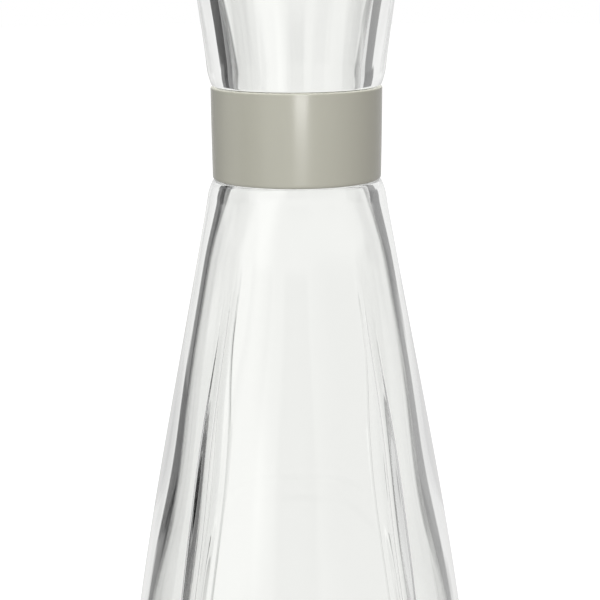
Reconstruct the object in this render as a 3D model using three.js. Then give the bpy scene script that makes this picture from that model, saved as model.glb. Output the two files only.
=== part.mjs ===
// Glass carafe with an elastomer band round its waist.
// Millimetres, +Z up; the origin is the centre of the foot, on the table.
import * as THREE from "three";
import { mergeVertices } from "three/addons/utils/BufferGeometryUtils.js";

// Heights above the table
const HEIGHT = 285;
const WAIST_HEIGHT = 194; // middle of the band
const HEEL_HEIGHT = 10; // where the body's side takes over from the rounded heel
const INNER_SHOULDER_DROP = 42; // from the band's middle to where the inside follows the outside
const BELLY_HEIGHT = 74; // where the wall is thickest
const EDGE_DROP = 42; // from the band's middle to where the soft edges fade out
const EDGE_FADE = 57; // from there to where they stand out in full

// Radii of the outside, measured to the middle of a side where the body has sides
const HEEL_RADIUS = 55.2;
const FOOT_RADIUS = 48; // outer edge of the flat ring that the glass stands on
const FOOT_RING_WIDTH = 7;
const MOUTH_RADIUS = 37.5;
const SHOULDER_RADIUS = 27.1; // top of the body's straight lean, just under the band
const LIP_RADIUS = 26.9; // foot of the funnel, just above the band

// Lean of the outside: how much the radius grows for each millimetre of height
const CONE_LEAN = 0.175; // just under the band
const HEEL_LEAN = 0.1; // just above the heel
const FUNNEL_LEAN = 0.115; // just above the band
const MOUTH_LEAN = 0.17; // at the rim

// Glass thickness
const SIDE_WALL = 3.6;
const BELLY_SWELL = 2.4; // how much thicker the wall is at its thickest
const BELLY_REACH = 34; // how far up and down that swelling reaches
const RIM_WALL = 2.8;
const FLOOR_THICKNESS = 7;
const PUSH_UP = 3; // hollow under the floor, inside the foot ring
const BORE_RADIUS = 18.5; // narrowest place inside, at the waist
const BORE_RISE = 3; // how far above the middle of the band that place lies

// Soft sides: a front and a back that are a little narrower than the two flanks between them
const FRONT_HALF = 42.3; // degrees from the middle of the front to its edge
const CREST = 3.2; // how far an edge stands out beyond the middle of a side

// Band and the groove that holds it
const BAND_RADIUS = 26;
const BAND_HEIGHT = 28;
const BAND_WALL = 1.5;
const BAND_TAPER = 0.3; // the lower edge is narrower by this much
const BAND_LOWER_ROUND = 1.1;
const BAND_UPPER_ROUND = 0.5;
const CLEARANCE = 0.3; // between the band and the glass, on every side
const SHOULDER_DROP = 3.7; // height of the rounded shoulder under the band
const LIP_RISE = 4.2; // height of the rounded lip above the band
const LEDGE = 1.1; // flat part of the groove's floor and ceiling

// Smoothness
const SIDE_COLUMNS = 16; // on each of the four sides
const LONG_STEPS = 14; // along the body's side
const MEDIUM_STEPS = 8; // along the funnel
const ROUND_STEPS = 4; // round a small corner

const GLASS = { color: 0xe9efec, roughness: 0.03, metalness: 0, transparent: true, opacity: 0.4 };
const ELASTOMER = { color: 0xb0ad9f, roughness: 0.42, metalness: 0 };

const grooveRadius = BAND_RADIUS - BAND_WALL - CLEARANCE;
const grooveFloor = WAIST_HEIGHT - BAND_HEIGHT / 2 - CLEARANCE;
const grooveTop = WAIST_HEIGHT + BAND_HEIGHT / 2 + CLEARANCE;
const QUARTER_TURN = Math.PI / 2;
const at = (radius, height) => new THREE.Vector2(radius, height);

// Points of a curve that leaves its first point, where most outlines here join end to end.
function along(curve, steps) {
  return curve.getPoints(steps).slice(1);
}

// A side that starts and ends with the given leans, swept between two points of the outline.
function side(from, to, leanFrom, leanTo, steps) {
  const third = (to.y - from.y) / 3;
  const first = at(from.x + leanFrom * third, from.y + third);
  const second = at(to.x - leanTo * third, to.y - third);
  return along(new THREE.CubicBezierCurve(from, first, second, to), steps);
}

// A rounded corner between two points, bent towards the corner that it replaces.
function bend(from, corner, to, steps) {
  return along(new THREE.QuadraticBezierCurve(from, corner, to), steps);
}

// Radius of an outline at a height, between its points.
function radiusAt(outline, height) {
  const above = outline.findIndex((point) => point.y >= height);
  const low = outline[above - 1];
  const high = outline[above];
  return THREE.MathUtils.mapLinear(height, low.y, high.y, low.x, high.x);
}

// Inside of the body's wall, which swells round the belly, from a height down to a lower one.
function innerSide(bodySide, from, to, steps) {
  const points = [];
  for (let i = 0; i <= steps; i++) {
    const height = THREE.MathUtils.lerp(from, to, i / steps);
    const away = (height - BELLY_HEIGHT) / BELLY_REACH;
    const wall = SIDE_WALL + BELLY_SWELL * Math.exp(-away * away);
    points.push(at(radiusAt(bodySide, height) - wall, height));
  }
  return points;
}

// Half of the glass seen in section: up the outside from the middle of the push-up, over the rim,
// and down the inside to the middle of the floor.
function glassOutline() {
  const ringInside = FOOT_RADIUS - FOOT_RING_WIDTH;
  const heel = at(HEEL_RADIUS, HEEL_HEIGHT);
  const shoulder = at(SHOULDER_RADIUS, grooveFloor - SHOULDER_DROP);
  const lip = at(LIP_RADIUS, grooveTop + LIP_RISE);
  const ledge = grooveRadius + LEDGE;
  const rimRound = RIM_WALL / 2;
  const rimOutside = at(MOUTH_RADIUS, HEIGHT - rimRound);
  const rimInside = at(MOUTH_RADIUS - RIM_WALL, HEIGHT - rimRound);
  const bore = at(BORE_RADIUS, WAIST_HEIGHT + BORE_RISE);
  const rim = new THREE.EllipseCurve(
    MOUTH_RADIUS - rimRound, HEIGHT - rimRound, rimRound, rimRound, 0, Math.PI);
  const bodySide = side(heel, shoulder, -HEEL_LEAN, -CONE_LEAN, LONG_STEPS);
  const innerBody = innerSide(
    [heel, ...bodySide], WAIST_HEIGHT - INNER_SHOULDER_DROP, HEEL_HEIGHT + SIDE_WALL, LONG_STEPS);
  const innerShoulder = innerBody[0];
  const innerHeel = innerBody.at(-1);
  const floorRound = innerHeel.y - FLOOR_THICKNESS;
  const floorCorner = at(innerHeel.x, FLOOR_THICKNESS);
  const floorEdge = at(innerHeel.x - 2 * floorRound, FLOOR_THICKNESS);
  return [
    at(0, PUSH_UP),
    ...bend(at(0, PUSH_UP), at(ringInside - 2 * PUSH_UP, PUSH_UP), at(ringInside, 0), ROUND_STEPS),
    at(FOOT_RADIUS, 0),
    ...bend(at(FOOT_RADIUS, 0), at(HEEL_RADIUS - HEEL_LEAN, 0), heel, ROUND_STEPS + 1),
    ...bodySide,
    ...bend(shoulder, at(BAND_RADIUS, grooveFloor), at(ledge, grooveFloor), ROUND_STEPS),
    at(grooveRadius, grooveFloor),
    at(grooveRadius, grooveTop),
    at(ledge, grooveTop),
    ...bend(at(ledge, grooveTop), at(BAND_RADIUS, grooveTop), lip, ROUND_STEPS),
    ...side(lip, rimOutside, FUNNEL_LEAN, MOUTH_LEAN, MEDIUM_STEPS),
    ...along(rim, ROUND_STEPS),
    ...side(rimInside, bore, MOUTH_LEAN, 0, MEDIUM_STEPS),
    ...side(bore, innerShoulder, 0, -CONE_LEAN, MEDIUM_STEPS - 2),
    ...innerBody.slice(1),
    ...bend(innerHeel, floorCorner, floorEdge, ROUND_STEPS),
    at(0, FLOOR_THICKNESS),
  ];
}

// Radius of a soft-sided section at an angle from the middle of its side. The side is an arc
// flatter than the circle, and it meets its neighbours in edges that stand out by the crest.
function facetRadius(radius, angle, half, crest) {
  const edge = radius + crest;
  const shift = (edge * edge - radius * radius) / (2 * (radius - edge * Math.cos(half)));
  const arc = radius + shift;
  const across = shift * Math.sin(angle);
  return Math.sqrt(arc * arc - across * across) - shift * Math.cos(angle);
}

// The crest at a height: none above the edges, growing over their fade, and all of it below.
function crestAt(height) {
  const edgeTop = WAIST_HEIGHT - EDGE_DROP;
  return CREST * THREE.MathUtils.smoothstep(edgeTop - height, 0, EDGE_FADE);
}

// Presses the soft sides into a turned body. Each quarter turn becomes one side, a flank narrower
// or wider than the front, so a column of points lies on every edge. The crest fades towards the
// axis, where the middle of the floor and of the push-up stay round.
function pressSides(geometry) {
  const frontHalf = THREE.MathUtils.degToRad(FRONT_HALF);
  const flankHalf = QUARTER_TURN - frontHalf;
  const points = geometry.getAttribute("position");
  for (let i = 0; i < points.count; i++) {
    const radius = Math.hypot(points.getX(i), points.getY(i));
    const quarters = Math.atan2(points.getY(i), points.getX(i)) / QUARTER_TURN;
    const middle = Math.round(quarters);
    const half = middle % 2 === 0 ? flankHalf : frontHalf;
    const angle = 2 * half * (quarters - middle);
    const height = points.getZ(i);
    const crest = crestAt(height) * Math.min(1, radius / FOOT_RADIUS);
    const pressed = crest > 0 ? facetRadius(radius, angle, half, crest) : radius;
    const turn = middle * QUARTER_TURN + angle;
    points.setXYZ(i, pressed * Math.cos(turn), pressed * Math.sin(turn), height);
  }
  return geometry;
}

// A solid turned about +Z from half its section.
function turned(outline) {
  const geometry = new THREE.LatheGeometry(outline, 4 * SIDE_COLUMNS);
  geometry.rotateX(Math.PI / 2);
  geometry.deleteAttribute("normal");
  geometry.deleteAttribute("uv");
  return mergeVertices(geometry, 1e-4);
}

// Section of the band: a sleeve with a soft lower edge and a finer one above.
function bandOutline() {
  const low = WAIST_HEIGHT - BAND_HEIGHT / 2;
  const high = WAIST_HEIGHT + BAND_HEIGHT / 2;
  const inside = BAND_RADIUS - BAND_WALL;
  const lowRadius = BAND_RADIUS - BAND_TAPER;
  const start = at(inside, low);
  return [
    start,
    at(lowRadius - BAND_LOWER_ROUND, low),
    ...bend(at(lowRadius - BAND_LOWER_ROUND, low), at(lowRadius, low),
      at(lowRadius, low + BAND_LOWER_ROUND), ROUND_STEPS),
    at(BAND_RADIUS, high - BAND_UPPER_ROUND),
    ...bend(at(BAND_RADIUS, high - BAND_UPPER_ROUND), at(BAND_RADIUS, high),
      at(BAND_RADIUS - BAND_UPPER_ROUND, high), ROUND_STEPS - 1),
    at(inside, high),
    start.clone(),
  ];
}

function piece(name, geometry, finish) {
  geometry.computeVertexNormals();
  const mesh = new THREE.Mesh(geometry, new THREE.MeshStandardMaterial(finish));
  mesh.name = name;
  return mesh;
}

const carafe = new THREE.Group();
carafe.add(piece("glass_body", pressSides(turned(glassOutline())), GLASS));
carafe.add(piece("neck_band", turned(bandOutline()), ELASTOMER));

export default carafe;
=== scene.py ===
import math

import bmesh
import bpy
import mathutils
import numpy as np
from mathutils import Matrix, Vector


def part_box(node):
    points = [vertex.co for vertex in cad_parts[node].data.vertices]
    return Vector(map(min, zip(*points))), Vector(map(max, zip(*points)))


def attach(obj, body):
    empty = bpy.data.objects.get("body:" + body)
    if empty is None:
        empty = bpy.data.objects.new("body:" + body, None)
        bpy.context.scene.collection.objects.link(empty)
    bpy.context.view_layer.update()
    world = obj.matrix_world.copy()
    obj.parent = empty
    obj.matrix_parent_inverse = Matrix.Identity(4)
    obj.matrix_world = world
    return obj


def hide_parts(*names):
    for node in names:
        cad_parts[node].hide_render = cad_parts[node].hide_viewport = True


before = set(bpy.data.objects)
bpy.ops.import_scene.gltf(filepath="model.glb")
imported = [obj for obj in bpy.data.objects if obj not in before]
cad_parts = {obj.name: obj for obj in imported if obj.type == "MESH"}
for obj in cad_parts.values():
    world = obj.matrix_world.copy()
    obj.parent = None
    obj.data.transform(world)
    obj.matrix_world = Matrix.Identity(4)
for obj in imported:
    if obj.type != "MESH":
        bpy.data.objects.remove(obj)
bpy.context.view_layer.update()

MM = 0.001

# Camera, fitted to the ellipses of the band and to the lean of the object in the picture
PICTURE = 600  # pixels across and down
FOCAL_PIXELS = 1850
PITCH = 11.7  # degrees below the horizon
TURN = 0.4  # degrees from the middle of the front towards +X
ROLL = -0.345
BAND_HALF_WIDTH = 85.5  # pixels
BAND_ROW = 132  # of the middle of the band
AXIS_COLUMN = 297.7
SENSOR_WIDTH = 36

# Outlines read from the CAD, and how finely they are followed
FRONT = -math.pi / 2  # azimuth of the middle of the front
SAME_POINT = 2e-6
ON_AXIS = 1e-6
IN_PLANE = 1e-3
CORNER_TURN = 50  # degrees from which a turn in an outline is a true corner
CORNER_ROUND = 0.45 * MM
BAND_CORNER_ROUND = 0.2 * MM
CORNER_STEPS = 5
STEP_LENGTH = 1.4 * MM
STEP_TURN = 4.0  # degrees
NEAR_END = 0.4  # share of a long piece in which it gets its extra points
NEARLY_HALF = 0.45
BAND_COLUMNS = 256

# Columns of the glass, in radians: even ones, closer ones beside each edge and over each seam
SIDE_STEPS = 44
EVEN_FROM_EDGE = 0.06
NEAR_EDGE = (.0012, .0024, .0036, .005, .0065, .0085, .011, .0145, .019, .025, .033, .045)
SEAM_COLUMN_GAP = 0.0022
SEAM_REACH = 5 * SEAM_COLUMN_GAP

# The edges between the soft sides: rounded, with a faint seam along them outside
EDGE_LEVEL = 0.2  # share of the height at which the CAD body shows where its edges lie
EDGE_LEVEL_REACH = 12 * MM
LEAST_CREST = 1e-6
EDGE_FILLET = 0.95 * MM
SEAM_HEIGHT = 0.13 * MM
SEAM_HALF_WIDTH = 0.45 * MM
SEAM_TOP = 152 * MM
SEAM_FULL = 118 * MM
SEAM_FOOT = 12 * MM

# Seams and low ridges inside. Each place is an angle from the middle of the front or of the back.
FRONT_SEAM = math.radians(40.3)
FRONT_SEAM_HEIGHT = 0.3 * MM
FRONT_SEAM_HALF_WIDTH = 0.3 * MM
BACK_SEAM_LOW = math.radians(37.3)
BACK_SEAM_HIGH = math.radians(40.9)
BACK_SEAM_TURN = (88 * MM, 135 * MM)  # heights between which it moves from low to high
BACK_SEAM_HEIGHT = 0.5 * MM
BACK_SEAM_HALF_WIDTH = 0.44 * MM
LOW_RIDGE = math.radians(41.0)
LOW_RIDGE_HEIGHT = 1.1 * MM
LOW_RIDGE_HALF_WIDTH = 1.0 * MM
LOW_RIDGE_TOP = 60 * MM
LOW_RIDGE_FULL = 40 * MM

# Materials
WHITE = (1, 1, 1, 1)
GLASS_IOR = 1.5
GLASS_TINTS = ((0.943, 0.948, 0.934, 1), (0.951, 0.954, 0.942, 1))
GLASS_SHADOW = (0.93, 0.94, 0.93, 1)
BAND_COLOURS = ((0.440, 0.430, 0.369, 1), (0.462, 0.451, 0.387, 1))
BAND_ROUGHNESS = 0.2
BAND_IOR = 1.45
PAPER = (0.8, 0.8, 0.8, 1)
PAPER_ROUGHNESS = 0.7
PAPER_GLOW = 0.9
# Light that is mirrored inside the wall more often than this is replaced by a painted glow of soft
# grey, which the glass emits though it is no lamp.
TRAPPED_DEPTH = 3.5
TRAPPED_PAINTED_GLOW = 0.68

# Stage: azimuths here are degrees from +Y towards +X, elevations degrees above the horizon.
# Each flag is (from, to, lowest, highest, softness, darkness): black cards that stand beside the
# white background of each side of the object, where only light through the glass meets them.
# The wall flags are met by light that has been mirrored inside one wall and left on the same
# side, the others by light that has gone right through.
FLAGS = (
    (23.5, 64, -21, -12, 2, 0.85),
    (27, 64, -12, 14, 2, 0.72),
    (284, 327, -21, 14, 2, 0.95),
    (325, 332.5, -15.5, 14, 2, 0.9),
    (75, 102, -22, 14, 2, 0.9),
    (168, 195, -22, 14, 2, 0.9),
    (210, 237, -18, 14, 2, 0.9),
)
WALL_FLAGS = (
    (33, 53.5, -32, 14, 1.5, 0.72),
    (27.5, 53.5, -8.5, 14, 1.5, 0.78),
    (52, 64, -32, 14, 2, 0.2),
    (305.5, 317, -32, 14, 1.5, 1.0),
    (315, 325, -32, 14, 1.5, 0.86),
    (315, 327, -32, -9.5, 1.5, 1.0),
    (294, 306, -32, 14, 1.5, 0.78),
    (75, 102, -32, 14, 2, 0.9),
    (168, 195, -32, 14, 2, 0.9),
    (210, 237, -32, 14, 2, 0.9),
    (255, 282, -36, 14, 2, 0.9),
)
# Greys of the background itself, straight behind the front of the body, and its brighter strip
GREYS = (
    (330, 350, -34, -13, 2, 0.11),
    (330, 350, -13, 14, 2, 0.045),
    (1, 60, -34, -9, 1.5, 0.05),
    (9, 60, -34, -9, 4, 0.10),
    (9, 60, -9, 14, 4, 0.05),
)
BRIGHT = (353, 357.2, -34, 14, 1, 0.10)
# Cards that only light mirrored off the outside meets
MIRROR_FLAGS = (
    (228, 262, -40, 20, 4, 0.95),
    (296, 330, -40, 20, 6, 0.35),
    (325, 334, -7, 10, 2, 0.6),
)
UPRIGHT_SOFTNESS = 3
ONE_WALL_DEPTH = 2.5  # light that has crossed fewer surfaces than this has met one wall only
MIRRORED_DEPTH = 0.5
AMBIENT = 0.30
AMBIENT_TINT = (1.0, 0.96, 0.90, 1)
GLOSS_LEVEL = 0.75
FLOOR_COLUMNS = 128
FLOOR_RADIUS = 4
FLOOR_DROP = 0.2 * MM

# Area lamps: degrees from the camera's side towards +X, degrees above the middle of the band,
# metres from it, width, height and watts
KEY = (-21, 24, 1.1, 0.5, 0.5, 4.3)
KEY_TINT = (0.94, 0.985, 1.0)
STRIP = (6.4, 0.4, 0.9, 0.265, 0.16, 2.8)
ABOVE = (0, 88, 0.9, 0.4, 0.4, 10.0)
BEHIND = (180, 24, 1.1, 0.3, 0.3, 4.0)


# Camera
def add_camera():
    """The camera at the picture's angle, as far away as the band's width in the picture says."""
    pitch = math.radians(PITCH)
    down = pitch + math.atan((BAND_ROW - PICTURE / 2) / FOCAL_PIXELS)
    low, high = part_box("neck_band")
    away = FOCAL_PIXELS * high.x / BAND_HALF_WIDTH * math.cos(down) / math.cos(down - pitch)
    turn = math.radians(TURN)
    data = bpy.data.cameras.new("camera")
    data.sensor_width = SENSOR_WIDTH
    data.lens = FOCAL_PIXELS / PICTURE * data.sensor_width
    data.clip_start = 0.01
    data.shift_x = (PICTURE / 2 - AXIS_COLUMN) / PICTURE
    camera = bpy.data.objects.new("camera", data)
    bpy.context.collection.objects.link(camera)
    camera.location = (away * math.sin(turn), -away * math.cos(turn),
                       (low.z + high.z) / 2 + away * math.tan(down))
    aim = mathutils.Euler((math.pi / 2 - pitch, 0, turn)).to_matrix()
    roll = mathutils.Matrix.Rotation(math.radians(ROLL), 3, "Z")
    camera.rotation_euler = (aim @ roll).to_euler()
    bpy.context.scene.camera = camera


# Outlines of the CAD nodes
def clean_mesh(name):
    """A CAD node's mesh, with the points that it has twice joined."""
    mesh = bmesh.new()
    mesh.from_mesh(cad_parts[name].data)
    bmesh.ops.remove_doubles(mesh, verts=mesh.verts, dist=SAME_POINT)
    return mesh


def radius_of(vertex):
    return math.hypot(vertex.co.x, vertex.co.y)


def walk(mesh, azimuth):
    """The points where the mesh's outline crosses a half plane, as (radius, height), in order."""
    def in_plane(vertex):
        radius = radius_of(vertex)
        turn = math.atan2(vertex.co.y, vertex.co.x) - azimuth
        return radius < ON_AXIS or abs(math.sin(turn)) < IN_PLANE and math.cos(turn) > 0
    members = [v for v in mesh.verts if in_plane(v)]
    ends = [v for v in members if radius_of(v) < ON_AXIS]
    if ends:
        start = min(ends, key=lambda v: v.co.z)
    else:
        start = min(members, key=lambda v: (round(v.co.z, 5), radius_of(v)))
    path = [start]
    seen = {start}
    while True:
        here = path[-1]
        near = [e.other_vert(here) for e in here.link_edges]
        near = [v for v in near if v not in seen and in_plane(v) and radius_of(v) > ON_AXIS]
        if not near:
            break
        step = max(near, key=radius_of) if len(path) == 1 else near[0]
        path.append(step)
        seen.add(step)
    path += [v for v in ends if v not in seen]
    return np.array([(radius_of(v), v.co.z) for v in path])


def turn_at(before, here, after):
    """Degrees by which an outline turns at a point."""
    a = here - before
    b = after - here
    return abs(math.degrees(math.atan2(a[0] * b[1] - a[1] * b[0], a[0] * b[0] + a[1] * b[1])))


def bend(start, corner, end, steps):
    """A rounded corner between two points, bent towards the corner that it replaces."""
    t = np.linspace(0, 1, steps + 1)[:, None]
    return (1 - t) ** 2 * start + 2 * t * (1 - t) * corner + t ** 2 * end


def steadied(points):
    """Adds points on a long piece of an outline, one and three lengths of its short neighbour away
    from their joint, so that a spline through them leaves the long piece straight."""
    gaps = np.linalg.norm(np.diff(points[:, :2], axis=0), axis=1)
    out = [points[0]]
    for i, gap in enumerate(gaps):
        before = gaps[i - 1] if i > 0 else gap
        after = gaps[i + 1] if i + 1 < len(gaps) else gap
        places = [k * before / gap for k in (1, 3)] + [1 - k * after / gap for k in (3, 1)]
        kept = [t for k, t in enumerate(places) if (t < NEAR_END if k < 2 else t > 1 - NEAR_END)]
        out += [points[i] + t * (points[i + 1] - points[i]) for t in kept] + [points[i + 1]]
    return np.array(out)


def spline(points):
    """Lengths and bends for a curve through points with no jump in its slope or its bend."""
    gaps = np.linalg.norm(np.diff(points[:, :2], axis=0), axis=1)
    count = len(points)
    system = np.zeros((count, count))
    right = np.zeros_like(points)
    system[0, 0] = system[-1, -1] = 1
    for i in range(1, count - 1):
        system[i, i - 1:i + 2] = gaps[i - 1], 2 * (gaps[i - 1] + gaps[i]), gaps[i]
        after = (points[i + 1] - points[i]) / gaps[i]
        before = (points[i] - points[i - 1]) / gaps[i - 1]
        right[i] = 6 * (after - before)
    curve = np.linalg.solve(system, right)
    return gaps, curve


def dense(points):
    """Many points on a smooth curve through a few, closer where it bends."""
    if len(points) < 3:
        steps = max(1, math.ceil(np.linalg.norm(points[1, :2] - points[0, :2]) / STEP_LENGTH))
        return points[0] + np.linspace(0, 1, steps + 1)[:, None] * (points[1] - points[0])
    points = steadied(points)
    gaps, curve = spline(points)
    turns = [0] + [turn_at(*points[i - 1:i + 2, :2]) for i in range(1, len(points) - 1)] + [0]
    out = [points[:1]]
    for i, gap in enumerate(gaps):
        steps = math.ceil(max(gap / STEP_LENGTH, (turns[i] + turns[i + 1]) / 2 / STEP_TURN))
        t = (np.linspace(0, 1, steps + 1)[1:] * gap)[:, None]
        s = gap - t
        out.append((curve[i] * s ** 3 + curve[i + 1] * t ** 3) / (6 * gap)
                   + (points[i] / gap - curve[i] * gap / 6) * s
                   + (points[i + 1] / gap - curve[i + 1] * gap / 6) * t)
    return np.concatenate(out)


def smooth_outline(points, corner_round, closed=False):
    """A fine outline through a coarse one, with its true corners a little rounded."""
    count = len(points)
    last = count if closed else count - 1
    flat = points[:, :2]
    corners = [i for i in range(0 if closed else 1, last)
               if turn_at(flat[i - 1], flat[i], flat[(i + 1) % count]) > CORNER_TURN]
    if closed:
        points = np.roll(points, -corners[0], axis=0)
        corners = [i - corners[0] for i in corners]
        points = np.concatenate([points, points[:1]])
        corners.append(count)
    else:
        corners = [0] + corners + [last]
    runs = [dense(points[a:b + 1]) for a, b in zip(corners, corners[1:])]
    out = []
    for k, run in enumerate(runs):
        following = runs[(k + 1) % len(runs)] if closed or k + 1 < len(runs) else None
        body = run[:-1] if following is not None else run
        if out or closed:
            body = body[1:]
        out.append(body)
        if following is not None:
            corner = run[-1]
            start = corner + towards(corner, run[-2], corner_round)
            end = corner + towards(corner, following[1], corner_round)
            out.append(bend(start, corner, end, CORNER_STEPS))
    return np.concatenate(out)


def towards(here, there, length):
    """A step of a given length towards the next point, but less than half of the way."""
    step = there - here
    size = np.linalg.norm(step[:2])
    return step * min(length, NEARLY_HALF * size) / size


# Glass
def edge_half(mesh):
    """Angle from the middle of the front to the edge of the side, read from the CAD body."""
    low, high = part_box("glass_body")
    level = low.z + (high.z - low.z) * EDGE_LEVEL
    lower = [v for v in mesh.verts
             if abs(v.co.z - level) < EDGE_LEVEL_REACH and v.co.y < 0 and v.co.x > 0]
    widest = max(lower, key=radius_of)
    return math.atan2(widest.co.x, -widest.co.y)


def edge_columns(front_half):
    """Azimuths round the glass, with more of them close to the four edges and on the seams."""
    flank_half = math.pi / 2 - front_half
    out = []
    for middle, half in ((0, flank_half), (math.pi / 2, front_half)):
        low, high = middle - half, middle + half
        out += [np.linspace(low + EVEN_FROM_EDGE, high - EVEN_FROM_EDGE, SIDE_STEPS), [low]]
        out += [low + np.array(NEAR_EDGE), high - np.array(NEAR_EDGE)]
    out = np.concatenate(out + [np.add(part, math.pi) for part in out])
    seams = ((FRONT, FRONT_SEAM, FRONT_SEAM), (-FRONT, BACK_SEAM_LOW, BACK_SEAM_HIGH))
    for middle, low, high in seams:
        across = np.arange(low - SEAM_REACH, high + SEAM_REACH, SEAM_COLUMN_GAP)
        for columns in (middle + across, middle - across):
            taken = np.ptp(columns) / 2 + SEAM_COLUMN_GAP / 2
            clear = np.abs(wrapped(out - columns.mean())) > taken
            out = np.concatenate([out[clear], columns])
    return np.sort(out % (2 * math.pi))


def wrapped(turn):
    """The same turn, between minus and plus half a circle."""
    return (turn + math.pi) % (2 * math.pi) - math.pi


def away_from(azimuths, middle, turn):
    """Each azimuth's angle from the nearer of two places, a turn to either side of a middle."""
    return np.abs(np.abs(wrapped(azimuths - middle)) - turn)


def inner_seams(azimuths, radius, height):
    """How far the inside stands back along its seams, two in front and two behind, and ridges."""
    back = BACK_SEAM_LOW + (BACK_SEAM_HIGH - BACK_SEAM_LOW) * fade(height, *BACK_SEAM_TURN)
    low = LOW_RIDGE_HEIGHT * fade(height, LOW_RIDGE_TOP, LOW_RIDGE_FULL)
    parts = (
        (FRONT, FRONT_SEAM, FRONT_SEAM_HEIGHT, FRONT_SEAM_HALF_WIDTH),
        (-FRONT, back, BACK_SEAM_HEIGHT, BACK_SEAM_HALF_WIDTH),
        (-FRONT, LOW_RIDGE, low, LOW_RIDGE_HALF_WIDTH),
    )
    return sum(size * ridge(away_from(azimuths, middle, turn), radius, half_width)
               for middle, turn, size, half_width in parts)


def ridge(turns, radius, half_width):
    """A rounded ridge across a seam, 1 along its middle."""
    return 0.5 * (1 + np.cos(math.pi * np.clip(turns * radius / half_width, 0, 1)))


def pressed(azimuths, radius, crest, front_half, fillet):
    """Radii of a soft-sided section, and each azimuth's angle from the nearest edge."""
    turn = (azimuths + math.pi / 2) % math.pi - math.pi / 2
    on_flank = np.abs(turn) <= math.pi / 2 - front_half + 1e-9
    half = np.where(on_flank, math.pi / 2 - front_half, front_half)
    from_edge = half - np.where(on_flank, np.abs(turn), math.pi / 2 - np.abs(turn))
    rounded = from_edge + (fillet - from_edge) ** 2 / (2 * fillet)
    eased = np.where(from_edge < fillet, rounded, from_edge)
    inside = half - eased
    edge = radius + crest
    shift = (edge ** 2 - radius ** 2) / (2 * (radius - edge * np.cos(half)))
    arc = radius + shift
    return np.sqrt(arc ** 2 - (shift * np.sin(inside)) ** 2) - shift * np.cos(inside), from_edge


def fade(value, start, full):
    """0 at the start and beyond, 1 where it is full, and a soft step between them."""
    t = min(max((value - start) / (full - start), 0), 1)
    return t * t * (3 - 2 * t)


def mesh_object(name, rings, material):
    """A closed surface through rings of points; a ring of one point is a pole."""
    vertices = [tuple(point) for ring in rings for point in ring]
    starts = np.concatenate([[0], np.cumsum([len(ring) for ring in rings])])
    faces = []
    for k in range(len(rings) - 1):
        a, b = starts[k], starts[k + 1]
        size_a, size_b = len(rings[k]), len(rings[k + 1])
        count = max(size_a, size_b)
        for j in range(count):
            n = (j + 1) % count
            if size_a == 1:
                faces.append((a, b + n, b + j))
            elif size_b == 1:
                faces.append((a + j, a + n, b))
            else:
                faces.append((a + j, a + n, b + n, b + j))
    return shown(name, vertices, faces, material)


def shown(name, vertices, faces, material):
    """A smooth-shaded object in the scene."""
    data = bpy.data.meshes.new(name)
    data.from_pydata(vertices, [], [tuple(int(i) for i in face) for face in faces])
    data.update()
    data.polygons.foreach_set("use_smooth", [True] * len(data.polygons))
    data.materials.append(material)
    made = bpy.data.objects.new(name, data)
    bpy.context.collection.objects.link(made)
    return made


def glass_section():
    """The glass in half section, as (radius, height, crest), and where its edges lie."""
    mesh = clean_mesh("glass_body")
    front_half = edge_half(mesh)
    middle = walk(mesh, FRONT)
    edge = walk(mesh, FRONT + front_half)
    crest = np.maximum(edge[:, 0] - middle[:, 0], 0)
    return np.column_stack([middle, crest]), front_half


def glass_rings(points, front_half):
    """The glass as rings of points, up the outside, over the rim and down the inside."""
    floor = points[:, 1].min()
    outline = smooth_outline(points, CORNER_ROUND)
    rim = int(np.argmax(outline[:, 1]))
    azimuths = edge_columns(front_half)
    rings = []
    for k, (radius, height, crest) in enumerate(outline):
        height = max(height, floor)
        if radius < ON_AXIS:
            rings.append([(0, 0, height)])
            continue
        crest = max(crest, LEAST_CREST)
        radii, from_edge = pressed(azimuths, radius, crest, front_half, EDGE_FILLET / radius)
        grown = fade(height, SEAM_TOP, SEAM_FULL) * fade(height, 0, SEAM_FOOT)
        if k > rim:
            radii = radii + grown * inner_seams(azimuths, radius, height)
        else:
            radii = radii + grown * SEAM_HEIGHT * ridge(from_edge, radius, SEAM_HALF_WIDTH)
        rings.append(np.column_stack([radii * np.cos(azimuths), radii * np.sin(azimuths),
                                      np.full(len(azimuths), height)]))
    return rings


def band_rings():
    """The band as rings of points, once round its section."""
    points = walk(clean_mesh("neck_band"), FRONT)
    outline = smooth_outline(points, BAND_CORNER_ROUND, closed=True)
    azimuths = np.linspace(0, 2 * math.pi, BAND_COLUMNS, endpoint=False)
    rings = [np.column_stack([r * np.cos(azimuths), r * np.sin(azimuths), np.full(BAND_COLUMNS, z)])
             for r, z in outline]
    return rings + rings[:1]


# Node helpers
def tree_of(name):
    material = bpy.data.materials.new(name)
    material.use_nodes = True
    tree = material.node_tree
    tree.nodes.clear()
    return material, tree


def node(tree, kind, operation=None, inputs=None, **settings):
    """A new node, with other nodes' outputs linked to its inputs and plain values set on them."""
    made = tree.nodes.new(kind)
    if operation:
        made.operation = operation
    for key, value in settings.items():
        setattr(made, key, value)
    for key, value in (inputs or {}).items():
        if isinstance(value, bpy.types.NodeSocket):
            tree.links.new(value, made.inputs[key])
        else:
            made.inputs[key].default_value = value
    return made


def math_node(tree, operation, *values):
    return node(tree, "ShaderNodeMath", operation, dict(enumerate(values))).outputs[0]


def step_up(tree, value, low, high):
    """0 below one value, 1 above another, and a soft step between them."""
    made = node(tree, "ShaderNodeMapRange", interpolation_type="SMOOTHSTEP",
                inputs={"Value": value, "From Min": low, "From Max": high})
    return made.outputs[0]


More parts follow.
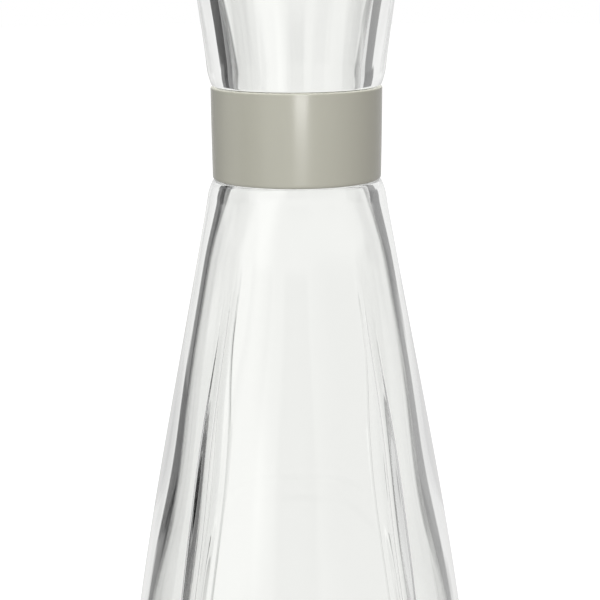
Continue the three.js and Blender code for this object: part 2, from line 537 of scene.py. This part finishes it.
def mix_number(tree, factor, a, b):
    made = node(tree, "ShaderNodeMix", data_type="FLOAT", inputs={0: factor, 2: a, 3: b})
    return made.outputs[0]


def mix_colour(tree, factor, a, b):
    made = node(tree, "ShaderNodeMix", data_type="RGBA", inputs={0: factor, 6: a, 7: b})
    return made.outputs[2]


def noise(tree, place, scale, detail, stretch=(1, 1, 1)):
    mapping = node(tree, "ShaderNodeMapping", inputs={"Vector": place, "Scale": stretch})
    made = node(tree, "ShaderNodeTexNoise",
                inputs={"Vector": mapping.outputs[0], "Scale": scale, "Detail": detail})
    return made.outputs[0]


# Materials of the object
def glass_material():
    """Clear glass with a trace of grey green, the slow ripple that blown glass has, and a painted
    soft grey glow where light is mirrored many times inside the wall.
    """
    material, tree = tree_of("clear_glass")
    place = node(tree, "ShaderNodeTexCoord").outputs["Object"]
    ripple = noise(tree, place, 38, 1, (1, 1, 0.3))
    bump = node(tree, "ShaderNodeBump",
                inputs={"Height": ripple, "Strength": 0.02, "Distance": 1 * MM})
    cast = noise(tree, place, 12, 1)
    tint = mix_colour(tree, cast, *GLASS_TINTS)
    glass = node(tree, "ShaderNodeBsdfPrincipled", inputs={
        "Base Color": tint, "Roughness": 0.0, "IOR": GLASS_IOR, "Transmission Weight": 1.0,
        "Normal": bump.outputs[0]})
    clear = node(tree, "ShaderNodeBsdfTransparent", inputs={"Color": GLASS_SHADOW})
    path = node(tree, "ShaderNodeLightPath")
    both = node(tree, "ShaderNodeMixShader", inputs={
        0: path.outputs["Is Shadow Ray"], 1: glass.outputs[0], 2: clear.outputs[0]})
    # Painted glow: after more than TRAPPED_DEPTH mirrorings inside the wall the glass emits soft
    # grey instead of carrying the light on.
    painted_glow_mask = math_node(tree, "GREATER_THAN", path.outputs["Glossy Depth"], TRAPPED_DEPTH)
    soft = node(tree, "ShaderNodeEmission", inputs={"Color": WHITE, "Strength": TRAPPED_PAINTED_GLOW})
    light = node(tree, "ShaderNodeMixShader",
                 inputs={0: painted_glow_mask, 1: both.outputs[0], 2: soft.outputs[0]})
    node(tree, "ShaderNodeOutputMaterial", inputs={"Surface": light.outputs[0]})
    return material


def band_material():
    """Satin elastomer: warm stone grey with a fine moulded grain and a faint unevenness."""
    material, tree = tree_of("band_elastomer")
    place = node(tree, "ShaderNodeTexCoord").outputs["Object"]
    cloud = noise(tree, place, 45, 3)
    colour = mix_colour(tree, cloud, *BAND_COLOURS)
    grain = noise(tree, place, 3200, 2)
    slow = noise(tree, place, 130, 2, (1, 1, 0.4))
    height = math_node(tree, "ADD", math_node(tree, "MULTIPLY", slow, 2.0), grain)
    bump = node(tree, "ShaderNodeBump",
                inputs={"Height": height, "Strength": 0.12, "Distance": 0.1 * MM})
    satin = node(tree, "ShaderNodeBsdfPrincipled", inputs={
        "Base Color": colour, "Roughness": BAND_ROUGHNESS, "IOR": BAND_IOR,
        "Normal": bump.outputs[0]})
    node(tree, "ShaderNodeOutputMaterial", inputs={"Surface": satin.outputs[0]})
    return material


# Stage
def window(tree, value, low, high, soft):
    """1 between two values and 0 outside them, with soft sides."""
    rise = step_up(tree, value, low - soft, low + soft)
    fall = step_up(tree, value, high - soft, high + soft)
    return math_node(tree, "MULTIPLY", rise, math_node(tree, "SUBTRACT", 1.0, fall))


def flag_dark(tree, azimuth, elevation, flag):
    """How much a flag takes from the light of one direction."""
    start, end, low, high, soft, dark = flag
    middle = (start + end) / 2
    away = math_node(tree, "WRAP", math_node(tree, "SUBTRACT", azimuth, middle), 180.0, -180.0)
    across = window(tree, away, start - middle, end - middle, soft)
    upright = window(tree, elevation, low, high, UPRIGHT_SOFTNESS)
    return math_node(tree, "MULTIPLY", math_node(tree, "MULTIPLY", across, upright), dark)


def darkest(tree, values):
    """The largest of several values."""
    result = values[0]
    for value in values[1:]:
        result = math_node(tree, "MAXIMUM", result, value)
    return result


def world_direction(tree):
    """Azimuth and elevation of a ray that leaves the scene, in degrees."""
    place = node(tree, "ShaderNodeTexCoord").outputs["Generated"]
    x, y, z = node(tree, "ShaderNodeSeparateXYZ", inputs={0: place}).outputs
    to_degrees = 180 / math.pi
    azimuth = math_node(tree, "MULTIPLY", math_node(tree, "ARCTAN2", x, y), to_degrees)
    elevation = math_node(tree, "MULTIPLY", math_node(tree, "ARCSINE", z), to_degrees)
    return azimuth, elevation


def add_world():
    """A white world, with cards and greys that only light through or off the glass meets."""
    world = bpy.data.worlds.new("studio")
    bpy.context.scene.world = world
    world.use_nodes = True
    tree = world.node_tree
    tree.nodes.clear()
    azimuth, elevation = world_direction(tree)
    path = node(tree, "ShaderNodeLightPath").outputs
    one_wall = math_node(tree, "LESS_THAN", path["Transmission Depth"], ONE_WALL_DEPTH)
    mirrored = math_node(tree, "GREATER_THAN", path["Glossy Depth"], MIRRORED_DEPTH)
    in_wall = math_node(tree, "MULTIPLY", one_wall, mirrored)
    both_walls = math_node(tree, "SUBTRACT", 1.0, one_wall)

    def darks(flags):
        return [flag_dark(tree, azimuth, elevation, flag) for flag in flags]

    dark = darkest(tree, [
        math_node(tree, "MULTIPLY", darkest(tree, darks(WALL_FLAGS)), in_wall),
        math_node(tree, "MULTIPLY", darkest(tree, darks(FLAGS)), both_walls),
        *darks(GREYS)])
    through = math_node(tree, "ADD", math_node(tree, "SUBTRACT", 1.0, dark), *darks([BRIGHT]))
    mirror = math_node(tree, "SUBTRACT", 1.0, darkest(tree, darks(MIRROR_FLAGS)))
    mirror = math_node(tree, "MULTIPLY", mirror, GLOSS_LEVEL)
    level = AMBIENT
    rays = (("Is Glossy Ray", mirror), ("Is Transmission Ray", through), ("Is Camera Ray", 1.0))
    for ray, value in rays:
        level = mix_number(tree, path[ray], level, value)
    colour = mix_colour(tree, path["Is Diffuse Ray"], WHITE, AMBIENT_TINT)
    light = node(tree, "ShaderNodeBackground", inputs={"Color": colour, "Strength": level})
    node(tree, "ShaderNodeOutputWorld", inputs={"Surface": light.outputs[0]})


def paper_material():
    """Matt white paper with a faint tooth, lifted to white where the camera sees it."""
    material, tree = tree_of("paper")
    path = node(tree, "ShaderNodeLightPath")
    glow = math_node(tree, "MULTIPLY", path.outputs["Is Camera Ray"], PAPER_GLOW)
    place = node(tree, "ShaderNodeTexCoord").outputs["Object"]
    tooth = noise(tree, place, 900, 2)
    bump = node(tree, "ShaderNodeBump",
                inputs={"Height": tooth, "Strength": 0.02, "Distance": 0.1 * MM})
    paper = node(tree, "ShaderNodeBsdfPrincipled", inputs={
        "Base Color": PAPER, "Roughness": PAPER_ROUGHNESS, "Specular IOR Level": 0.0,
        "Emission Color": WHITE, "Emission Strength": glow, "Normal": bump.outputs[0]})
    node(tree, "ShaderNodeOutputMaterial", inputs={"Surface": paper.outputs[0]})
    return material


def add_floor():
    """A wide white floor. Light through the glass goes on to the world, which is as white."""
    turns = [2 * math.pi * k / FLOOR_COLUMNS for k in range(FLOOR_COLUMNS)]
    ring = [(FLOOR_RADIUS * math.cos(turn), FLOOR_RADIUS * math.sin(turn), -FLOOR_DROP)
            for turn in turns]
    floor = shown("floor", ring, [tuple(range(FLOOR_COLUMNS))], paper_material())
    floor.visible_transmission = False
    floor.visible_glossy = False


def aim_at_band(lamp, turn, rise, away):
    low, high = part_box("neck_band")
    target = mathutils.Vector((0, 0, (low.z + high.z) / 2))
    turn, rise = math.radians(turn), math.radians(rise)
    offset = mathutils.Vector((math.sin(turn) * math.cos(rise), -math.cos(turn) * math.cos(rise),
                               math.sin(rise))) * away
    lamp.location = target + offset
    lamp.rotation_euler = offset.to_track_quat("Z", "Y").to_euler()


def add_lamp(name, turn, rise, away, width, height, power):
    """An area lamp that faces the band."""
    data = bpy.data.lights.new(name, "AREA")
    data.shape = "RECTANGLE"
    data.size = width
    data.size_y = height
    data.energy = power
    lamp = bpy.data.objects.new(name, data)
    bpy.context.collection.objects.link(lamp)
    aim_at_band(lamp, turn, rise, away)
    return lamp


def add_lamps(band):
    """A soft frontal lamp for all, and three for the band: a strip that it mirrors, one above it
    and one behind it."""
    key = add_lamp("key", *KEY)
    key.data.color = KEY_TINT
    strip = add_lamp("strip", *STRIP)
    above = add_lamp("above", *ABOVE)
    behind = add_lamp("behind", *BEHIND)
    lit = bpy.data.collections.new("lit_band")
    lit.objects.link(band)
    for lamp in (strip, above, behind):
        lamp.light_linking.receiver_collection = lit
        lamp.visible_camera = False
    for lamp in (key, behind):
        lamp.visible_glossy = False
        lamp.visible_transmission = False


bpy.context.scene.view_settings.view_transform = "Standard"
add_camera()

glass = mesh_object("glass", glass_rings(*glass_section()), glass_material())
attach(glass, "glass")
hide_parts("glass_body")

band = mesh_object("band", band_rings(), band_material())
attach(band, "band")
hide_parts("neck_band")

add_world()
add_floor()
add_lamps(band)
